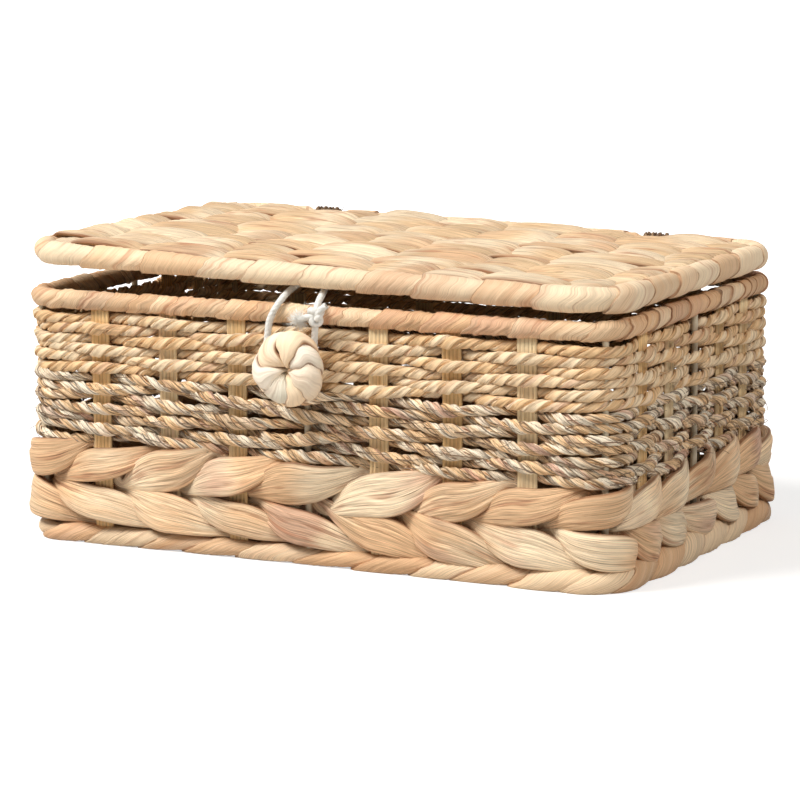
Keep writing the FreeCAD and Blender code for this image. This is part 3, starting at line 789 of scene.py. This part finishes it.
wallTwine = {
    "width": 8.7, "tipWidth": 1.9, "backWidth": 6.2, "thick": 3.0, "tipThick": 1.6, "rise": 9.0,
    "tipAt": 0.76, "crossAt": 0.58, "swingPower": 1.0, "widthPower": 0.9, "slopePower": 1.5, "shift": 0.06,
    "roll": 0.14, "odd": 0.09, "oddMost": 1.8, "oddRise": 1.5, "oddLevel": 0.6, "ease": 3.0, "gap": 0.2,
    "sides": 96, "step": 1.8, "crownPower": 0.52, "faceEdge": 2.5, "uneven": 0.05, "stray": 0.4,
    "tintDrift": 0.3, "seed": 70, "rowSeeds": 10,
    # a line's furthest place across and its drift, then how it shows: mean, swing and most
    "folds": 3, "foldDepth": 0.65, "foldShare": 0.045,
    "foldLine": (0.65, 0.16, "fold"), "foldShows": (0.4, 0.6, 1.0, "foldShows"),
    "creases": 5, "creaseDepth": 0.28, "creaseShare": 0.045,
    "creaseLine": (0.8, 0.2, "crease"), "creaseShows": (0.5, 0.7, 1.5, "creaseShows")}


def eased(values, steps, looped):
    # a moving average that takes the corners off
    weights = np.hanning(2 * steps + 3)[1:-1]
    padded = np.pad(values, steps, mode="wrap" if looped else "edge")
    return np.convolve(padded, weights / weights.sum(), "valid")


def twineForm(passed, look, rng, leaves, looped):
    # one strand of a twined pair: a broad slanted leaf in front of an upright, pinched where it turns
    # behind the next; gives its rise, half width, half thickness, swing out of the plane and roll
    tipAt, crossAt, tipWidth = (look[name] for name in ("tipAt", "crossAt", "tipWidth"))
    leaf = np.floor((passed + 1) / 2).astype(int)
    place = passed - 2 * leaf                  # 0 in front of an upright, 1 behind the next one
    odd = np.clip(rng.normal(size=(leaves, 4)), -look["oddMost"], look["oddMost"])[leaf % leaves]
    away = np.abs(place)
    front = np.clip(away / tipAt, 0, 1)
    behind = np.clip((away - tipAt) / (1 - tipAt), 0, 1)
    slope = np.where(behind > 0, np.cos(math.pi / 2 * behind), front ** look["slopePower"])
    steeper = 1 + look["oddRise"] * look["odd"] * odd[:, 0]
    rise = np.sign(place) * look["rise"] * slope * steeper + look["oddLevel"] * odd[:, 1]
    full = look["width"] * (1 + look["odd"] * odd[:, 2])
    behindWidth = (look["backWidth"] - tipWidth) * np.sin(math.pi / 2 * behind)
    frontWidth = (full - tipWidth) * np.cos(math.pi / 2 * front) ** look["widthPower"]
    width = tipWidth + np.where(behind > 0, behindWidth, frontWidth)
    thick = look["tipThick"] + (look["thick"] - look["tipThick"]) * np.minimum(width / look["width"], 1)
    over = np.maximum(np.cos(math.pi / 2 * away / crossAt), 0) ** look["swingPower"]
    under = -np.sin(math.pi / 2 * (away - crossAt) / (1 - crossAt))
    swing = np.where(away < crossAt, over, under)
    steps = round(look["ease"] / look["step"])
    form = (rise, width, thick, swing, look["roll"] * odd[:, 3])
    return [eased(values, steps, looped) for values in form]


def makeWallTwine(look, row, lean, strand):
    seed = look["seed"] + look["rowSeeds"] * lean       # the two strands of a row share their shift
    rng = seeded(seed)
    node = row + "_twining_strand_" + str(strand + 1)
    s = onceRound(look["step"], strand)
    passed = uprightCount(s) + look["shift"] * wander(rng, s, wallRound, "twine")
    rng = seeded(seed + strand + 1)
    rise, width, thick, swing, roll = twineForm(passed + strand + 1, look, rng, len(bays) // 2, True)
    away = uprightDepth(passed) + look["gap"] + look["thick"]
    stray = look["stray"] * wander(rng, s, wallRound, "strand")
    centre, outward = inWall(s, node, swing * away, lean * rise + stray)
    sideWay = upWays(outward) + np.tan(roll)[:, None] * outward
    part = leafStrand(centre, s, wallRound, width, thick, sideWay, look, rng, looped=True)
    makePiece(node, [part], wallLeaf, "basket")


for strand in (0, 1):
    makeWallTwine(wallTwine, "upper", 1, strand)
    makeWallTwine(wallTwine, "lower", -1, strand)
print("wall twining made")


# Lid and base panels: rows of twined leaf along X over cross pieces

hingeTie = {"bay": 2.5, "halfWidth": 8.0, "ease": 4.0, "neck": 2.7, "press": 12.0}
tiePlaces = (-hingeTie["bay"] * longBay, hingeTie["bay"] * longBay)
lidTwine = dict(
    wallTwine, width=11.4, tipWidth=8.0, backWidth=9.0, thick=1.8, tipThick=0.9, rise=5.5, core=1.5,
    crossLevel=1.8, topLevel=4.6, shift=0.13, odd=0.17, roll=0.09, tilt=0.035, endInset=0.0, tipAt=0.7,
    crossAt=0.55, swingPower=0.42, sides=72, crownPower=0.75, creaseDepth=0.26, foldDepth=0.6, tuck=4.0,
    tieDip=0.6, leaves=99, seed=120)
baseTwine = dict(
    lidTwine, width=9.6, tipWidth=2.6, backWidth=7.0, thick=1.35, tipThick=1.2, rise=9.0, core=0.8,
    crossLevel=0.0, topLevel=2.35, roll=0.0, tilt=0.0, endInset=0.5, tipAt=0.8, crossAt=0.58,
    swingPower=1.0, sides=24, step=3.0, crownPower=0.52, creases=2, creaseDepth=0.3, folds=1,
    foldDepth=0.4, tuck=18.0, tieDip=0.0, seed=200)
baseLevel = middleHeight("base_cross_stakes")
baseHalf = halfDepth - borderRadius
lidFront = lidRimRadius + lidPlan["frontGap"] - halfDepth
lidBack = halfDepth - lidRimRadius - lidPlan["backGap"]


def panelReach(edge, radius, inset):
    # how far along X a row runs before it ends inside the edge tube
    over = max(edge - (halfDepth - radius), 0)
    return halfLength - radius + math.sqrt(max(radius ** 2 - over ** 2, 0)) - inset


def makePanelRow(number, kind, body, look, front, back, radius, tubeRadius, place):
    rng = seeded(look["seed"] + number)
    pitch = (back - front) / lidPlan["rows"]
    middle = front + pitch * (number - 0.5)
    reach = panelReach(abs(middle) + pitch / 2, radius, look["endInset"] * tubeRadius)
    s = np.linspace(-reach, reach, round(2 * reach / look["step"]))
    total = s[-1] - s[0]
    shift = look["shift"] * wander(rng, s, total, "twine")
    beside = np.abs(s[:, None] - np.array(tiePlaces)).min(1) / hingeTie["press"]
    lastRow = number == lidPlan["rows"]
    pressed = look["tieDip"] * np.exp(-beside ** 2) * lastRow       # the ties hold the back row down
    over = look["topLevel"] - look["crossLevel"]
    under = look["crossLevel"] + look["core"] + look["gap"] + look["thick"]
    parts = []
    for strand in (0, 1):
        passed = s / longBay + longBays // 2 + strand + shift
        rise, width, thick, swing, roll = twineForm(passed, look, rng, look["leaves"], False)
        swing = swing * np.sqrt(np.clip((reach - np.abs(s)) / look["tuck"], 0, 1))
        side = middle - rise + look["stray"] * wander(rng, s, total, "strand")
        away = look["crossLevel"] + swing * np.where(swing > 0, over, under)
        away = away * np.where(away > 0, 1 - pressed, 1)
        centre = place(np.stack([s, side, away], -1))
        depthWay = np.stack([0 * roll, 0 * roll + 1, np.tan(roll + look["tilt"])], -1)
        parts.append(leafStrand(centre, s - s[0], total, width, thick, depthWay, look, rng))
    makePiece(kind + "_twined_row_" + str(number), parts, lidLeaf, body)


panels = [
    ("lid", "lid", lidTwine, lidFront, lidBack, lidCorner, lidRimRadius, onLid),
    ("base", "basket", baseTwine, -baseHalf, baseHalf, wallCorner, borderRadius,
     partial(raised, baseLevel))]
for number in range(1, lidPlan["rows"] + 1):
    for panel in panels:
        makePanelRow(number, *panel)
print("lid and base panels twined")


# Leaf strip wound round the basket's rim, its bottom border and the lid's rim

rimStrip = {
    "stripWidth": (7.0, 24.0), "lap": 6.0, "lift": 1.25, "liftSpread": (0.7, 1.3), "liftFall": 1.4,
    "sink": 1.4, "slant": 3.6, "slantSpread": (0.75, 1.3), "ragged": 0.5, "tuckedAt": (0.03, 0.98),
    "sides": 30, "step": 0.9, "fewest": 4, "puff": 0.5, "puffPower": 0.8, "puffSpread": (0.6, 1.3),
    "rightPuff": 0.0, "rightGrowth": 0.0, "pleat": 0.13, "pleatSpread": (0.2, 1.4),
    "pleatWaves": (3.1, 4.7, 7.7), "pleatLean": 0.2, "edgeBand": 1.7, "proud": -0.3, "seam": 2.6,
    "seed": 300}
borderStrip = dict(
    rimStrip, stripWidth=(18.0, 32.0), slant=7.5, lift=1.5, puff=1.1, puffPower=0.6, rightPuff=2.2,
    rightGrowth=1.4, pleat=0.08, proud=0.0, seed=320)
lidStrip = dict(
    rimStrip, stripWidth=(20.0, 32.0), slant=3.2, rightPuff=0.8, rightGrowth=0.3, pleat=0.06, proud=0.4,
    seed=340)


def ringOn(corner, place, s):
    # round a rim: its middle line, the way out of it and the way up
    plan, outward = oblong(s, corner)
    zero = place(np.zeros_like(plan))
    return place(plan), place(outward) - zero, place(upWays(plan)) - zero


def tieNeck(radius, corner, s):
    # the wrap is drawn in under the two hinge ties
    plan, _ = oblong(s, corner)
    share = np.ones(len(s))
    for place in tiePlaces:
        beside = (np.abs(plan[:, 0] - place) - hingeTie["halfWidth"]) / hingeTie["ease"]
        close = np.clip(1 - beside, 0, 1) * (plan[:, 1] > 0)
        share = np.minimum(share, 1 - close ** 2 * (3 - 2 * close) * (1 - hingeTie["neck"] / radius))
    return share


def makeWrap(node, body, material, look, place, corner, radius, tied=True, floor=None):
    rng = seeded(look["seed"])
    base = radius - look["lift"] / 2 - look["puff"] + look["proud"]
    narrowing = partial(tieNeck, base, corner) if tied else None
    ringAt = partial(ringOn, corner, place)
    parts = wrappedRing(ringAt, oblongRound(corner), (base, base), look, rng, narrowing, floor)
    makePiece(node, parts, material, body)


makeWrap("rim_wrap", "basket", wrapLeaf, rimStrip, partial(raised, rimZ), wallCorner, rimRadius)
makeWrap("base_border_wrap", "basket", wrapLeaf, borderStrip, partial(raised, borderZ), wallCorner,
         borderRadius, tied=False, floor=0.0)
makeWrap("lid_rim_wrap", "lid", lidWrapLeaf, lidStrip, onLid, lidCorner, lidRimRadius)
print("rims and border wrapped")


# Flat stakes of split cane, ribbed along their length

caneStake = {
    "width": 9.4, "thick": 1.6, "edgePower": 0.7, "facePower": 0.3, "ribs": 5, "ribDepth": 0.5,
    "sides": 64, "rings": 14, "bow": 0.15, "seed": 400}


def makeStakes(look, side, outward, reach, bay, bayCount):
    rng = seeded(look["seed"] + len(side))
    node = side + "_stakes"
    low, high = nodeBox(node)
    outward = np.array(outward, float)
    along = np.cross((0, 0, 1.0), outward)
    around = roundAngles(look["sides"])
    across = signedPower(np.sin(around), look["edgePower"])
    ridge = np.abs(np.cos(across * math.pi * look["ribs"] / 2))
    depth = signedPower(np.cos(around), look["facePower"]) * (1 - look["ribDepth"] * (1 - ridge))
    wide = look["width"] / 2 * across
    z = np.linspace(low[2], high[2], look["rings"])
    last = bayCount // 2 - 1
    parts = []
    for step in (*range(-last, 0), *range(1, last + 1)):       # a wire stands in the middle
        bow = look["bow"] * wander(rng, z - z[0], 2 * (z[-1] - z[0]), "stake")
        centre = outward * reach + np.outer(step * bay + bow, along) + np.outer(z, (0, 0, 1.0))
        rings = centre[:, None] + np.outer(wide, along) + np.outer(look["thick"] / 2 * depth, outward)
        # the reach falls to zero between the ribs and along the stake's sides, where the cane material
        # paints shade
        fibre = fibrePlaces(rng, rings.shape[:2], z[:, None], wide, edgeReach * ridge)
        parts.append(skin(rings, fibre, rng.uniform(size=3)))
    makePiece(node, parts, caneRib, "basket")


makeStakes(caneStake, "front", (0, -1, 0), halfDepth, longBay, longBays)
makeStakes(caneStake, "back", (0, 1, 0), halfDepth, longBay, longBays)
makeStakes(caneStake, "left", (-1, 0, 0), halfLength, shortBay, shortBays)
makeStakes(caneStake, "right", (1, 0, 0), halfLength, shortBay, shortBays)
print("stakes made")


# Hinge ties: dark seagrass cord wound round the back rims of lid and basket

tieRope = dict(
    seagrassRope, diameter=2.6, lay=10.0, sides=8, bladeLay=16.0, bladeRun=60.0, ridge=0.22, uneven=0.05,
    turns=4, pitch=3.2, radius=4.4, arcSteps=12, runSteps=8, seed=420, hairs=7, hairReach=(3, 7),
    hairPoints=5, hairInset=4, hairAim=2.0, hairStray=1.2, hairDiameter=(0.3, 0.5))


def makeHingeTie(look, place, side):
    rng = seeded(look["seed"] + len(side))
    radius, pitch, turns = look["radius"], look["pitch"], look["turns"]
    half = np.linspace(0, math.pi, look["arcSteps"])
    between = np.linspace(0, 1, look["runSteps"])[1:-1]
    line = []
    for index in range(turns):
        lowX = place - pitch * turns / 2 + pitch * index
        highX = lowX + pitch / 2
        top = lidZ - highX * math.tan(lidRoll)
        line += [(lowX, halfDepth - radius * math.cos(a), rimZ - radius * math.sin(a)) for a in half]
        line += [(lowX + pitch / 2 * share, halfDepth + radius, rimZ + (top - rimZ) * share)
                 for share in between]
        line += [(highX, halfDepth + radius * math.cos(a), top + radius * math.sin(a)) for a in half]
        if index < turns - 1:
            line += [(highX + pitch / 2 * share, halfDepth - radius, top + (rimZ - top) * share)
                     for share in between]
    line = np.array(line)
    parts = ropeAlong(line, look, rng)
    sweep = np.linspace(0, 1, look["hairPoints"])[:, None]
    for at in rng.integers(look["hairInset"], len(line) - look["hairInset"], look["hairs"]):
        heart = np.array([line[at][0], halfDepth, (rimZ + lidZ) / 2])
        aim = unit(line[at] - heart + rng.normal(0, look["hairAim"], 3))
        hair = line[at] + aim * sweep * rng.uniform(*look["hairReach"])
        hair = hair + rng.normal(0, look["hairStray"], 3) * sweep ** 2
        parts.append(hairStrand(hair, rng.uniform(*look["hairDiameter"]), rng))
    makePiece("hinge_tie_" + side, parts, tieCord, "basket")


makeHingeTie(tieRope, tiePlaces[0], "left")
makeHingeTie(tieRope, tiePlaces[1], "right")
print("hinge ties wound")


# Button: leaf strip wound round and through a small ring, so its laps meet in the middle as petals

leafButton = dict(
    rimStrip, stripWidth=(6.2, 11.5), lap=1.6, lift=1.3, sink=1.6, slant=2.4, ragged=0.45, sides=44,
    step=0.4, puff=2.3, puffPower=0.6, pleat=0.07, pleatWaves=(1.9, 3.1), pleatLean=0.0, edgeBand=1.3,
    seam=4.0, ringShare=0.53, tubeShare=0.47, seed=502)
shankCord = dict(tieRope, diameter=1.6, lay=7.0, bendSteps=26, bendIn=4.0, legSteps=8, seed=520)


def makeButton(look):
    rng = seeded(look["seed"])
    low, high = nodeBox("button")
    middle = (low + high) / 2
    radius = (high[0] - low[0]) / 2
    ringRadius = radius * look["ringShare"]

    def ringAt(s):
        angle = s / ringRadius
        outward = np.stack([np.cos(angle), 0 * angle, np.sin(angle)], -1)
        forward = np.broadcast_to(np.array([0, -1.0, 0]), outward.shape)
        return middle + ringRadius * outward, outward, forward

    padding = look["lift"] / 2 + look["puff"]
    radii = (radius * look["tubeShare"] - padding, (high[1] - low[1]) / 2 - padding)
    parts = wrappedRing(ringAt, turn * ringRadius, radii, look, rng)
    makePiece("button", parts, buttonLeaf, "button", "leafButton")


def makeShank(look):
    # from behind the button, round the front middle wire and back
    rng = seeded(look["seed"])
    low, high = nodeBox("button_shank")
    half = look["diameter"] / 2
    spread, behind, level, inner = high[0] - half, high[1] - half, high[2] - half, low[2] + half
    sweep = np.linspace(0, math.pi, look["bendSteps"])
    short = 1 - np.sin(sweep)
    bendY = behind - (behind + halfDepth + look["bendIn"]) * short
    bend = np.stack([-spread * np.cos(sweep), bendY, inner + (level - inner) * short], -1)
    leg = np.linspace(low[1], bend[0][1], look["legSteps"])[:-1]
    left = np.stack([0 * leg - spread, leg, 0 * leg + level], -1)
    right = left[::-1] * np.array([-1, 1, 1])
    parts = ropeAlong(np.concatenate([left, bend, right]), look, rng)
    makePiece("button_shank", parts, seagrassCord, "basket")


makeButton(leafButton)
makeShank(shankCord)
print("button made")


# CAD pieces that keep their shape and get their finish here

wires = ("corner_wires", "middle_wires", "base_wire", "rim_wire", "lid_wire", "lid_cross_wires")
finishes = {**dict.fromkeys(wires, wireLacquer), "base_cross_stakes": caneRib}
for name, material in finishes.items():
    node = frame["nodes"][name]
    node.data.materials.clear()
    node.data.materials.append(material)
print("wires and cross stakes finished")


# Floor and light

studio = {
    "floor": 12.0, "floorColours": ("#c4c2bf", "#cdcbc8"), "floorGrain": 40.0, "floorRough": 0.9,
    "glow": (0.56, 1.0), "glowReach": (0.25, 0.9), "skyLight": 0.36, "horizonLight": 0.1,
    "aim": (0, 0, 0.07), "lamps": [("keyLamp", (-1.0, -1.15, 1.85), 1.0, 60.0),
                                   ("fillLamp", (1.35, -0.75, 1.4), 0.45, 13.0)]}


def seenRays(add):
    # 1 where the camera, a reflection or a clear surface looks, 0 for the light on the basket
    rays = add("LightPath").outputs
    seen = rays["Is Camera Ray"]
    for kind in ("Is Glossy Ray", "Is Transmission Ray"):
        seen = add("Math", {"operation": "MAXIMUM"}, {0: seen, 1: rays[kind]})
    return seen


def makeFloor(look):
    # matt white paper sweep; it shows white to the camera and keeps the basket's shadow
    material, add = newMaterial("mattPaperSweep")
    grain = add("TexNoise", {"Scale": look["floorGrain"], "Detail": 2.0})
    colour = add("ValToRGB", {"stops": look["floorColours"]}, {0: grain})
    place = add("TexCoord").outputs["Object"]
    away = add("VectorMath", {"operation": "LENGTH"}, {0: place}).outputs["Value"]
    span = look["glowReach"] + look["glow"]
    glow = add("MapRange", dict(enumerate(span, 1)), {0: away})
    seen = add("Math", {"operation": "MULTIPLY"}, {0: glow, 1: seenRays(add)})
    paper = {"Roughness": look["floorRough"], "Emission Color": (1, 1, 1, 1)}
    shader = add("BsdfPrincipled", paper, {"Base Color": colour, "Emission Strength": seen})
    add("OutputMaterial", None, {"Surface": shader})
    half = look["floor"] / 2
    corners = [(-half, -half, 0), (half, -half, 0), (half, half, 0), (-half, half, 0)]
    mesh = bpy.data.meshes.new("paperFloor")
    mesh.from_pydata(corners, [], [(0, 1, 2, 3)])
    mesh.materials.append(material)
    newObject("paperFloor", mesh)


def makeLight(look):
    # a soft dome, brightest above, a broad key lamp at the front left and a small fill at the right
    world = bpy.data.worlds.new("softStudio")
    world.use_nodes = True
    scene.world = world
    world.node_tree.nodes.clear()
    add = partial(addNode, world.node_tree)
    way = add("TexCoord").outputs["Generated"]
    upness = add("SeparateXYZ", None, {0: way}).outputs[2]
    dome = add("MapRange", {3: look["horizonLight"], 4: look["skyLight"]}, {0: upness})
    level = add("MapRange", {4: 1.0}, {0: seenRays(add), 3: dome})
    sky = add("Background", {"Color": (1, 1, 1, 1)}, {"Strength": level})
    add("OutputWorld", None, {"Surface": sky})
    for name, place, size, power in look["lamps"]:
        data = bpy.data.lights.new(name, "AREA")
        data.shape, data.size, data.energy = "DISK", size, power
        lamp = newObject(name, data)
        lamp.location = place
        aim = Vector(look["aim"]) - lamp.location
        lamp.rotation_euler = aim.to_track_quat("-Z", "Y").to_euler()


makeFloor(studio)
makeLight(studio)
scene.view_settings.view_transform = "Standard"
print("studio made")
